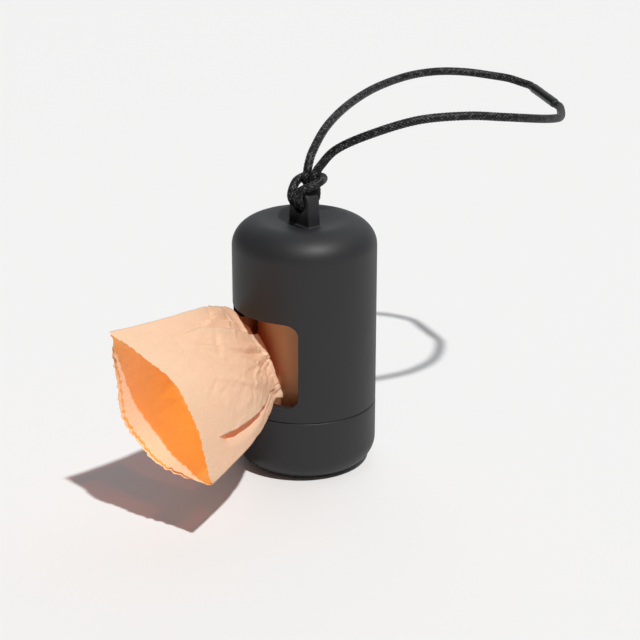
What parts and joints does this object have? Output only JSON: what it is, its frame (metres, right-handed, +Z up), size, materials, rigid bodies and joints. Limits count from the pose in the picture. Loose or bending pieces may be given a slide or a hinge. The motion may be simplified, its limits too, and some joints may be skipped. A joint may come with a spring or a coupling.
{
  "type": "dog waste bag dispenser",
  "caption": "Cylindrical black can with a side window that pays out rolled bags, a screw-off base cap, a lug on top and an elastic carry loop; one bag is partly pulled out",
  "frame": {"origin": "on the can's axis at the middle of the flat rest face under the base cap", "axes": "Z up along the can's axis, the middle of the window faces -Y, the lug's broad faces look along Y and X runs across the window"},
  "size_m": [0.0657, 0.1754, 0.1138],
  "materials": {
    "shell_plastic": "satin moulded black plastic with a fine grain",
    "cap_plastic": "satin moulded black plastic with a fine grain",
    "bag_film": "thin translucent peach film, crinkled",
    "core_card": "plain wound cardboard",
    "cord_braid": "tight braid over an elastic core",
    "sleeve_plastic": "smooth shrunk tube"
  },
  "bodies": {
    "housing": {"shell": "shell_plastic", "cord_loop": "cord_braid", "cord_knot": "cord_braid", "cord_sleeve": "sleeve_plastic"},
    "cap": {"base_cap": "cap_plastic"},
    "refill": {"bag_roll": "bag_film", "roll_core": "core_card"},
    "pulled": {"pulled_bag": "bag_film"}
  },
  "joints": [
    {"name": "cap_release", "type": "slide", "parent": "housing", "child": "cap", "axis": [0, 0, -1], "range_m": [0, 0.03]},
    {"name": "roll_spin", "type": "hinge", "parent": "housing", "child": "refill", "pos_m": [0, 0, 0.0356], "axis": [0, 0, 1], "range_deg": [0, 114.5]},
    {"name": "bag_pull", "type": "slide", "parent": "housing", "child": "pulled", "axis": [0.4006, -0.9163, 0], "range_m": [0, 0.03]}
  ],
  "couplings": [
    {"joint": "bag_pull", "follows": "roll_spin", "m_per_rad": 0.015}
  ]
}
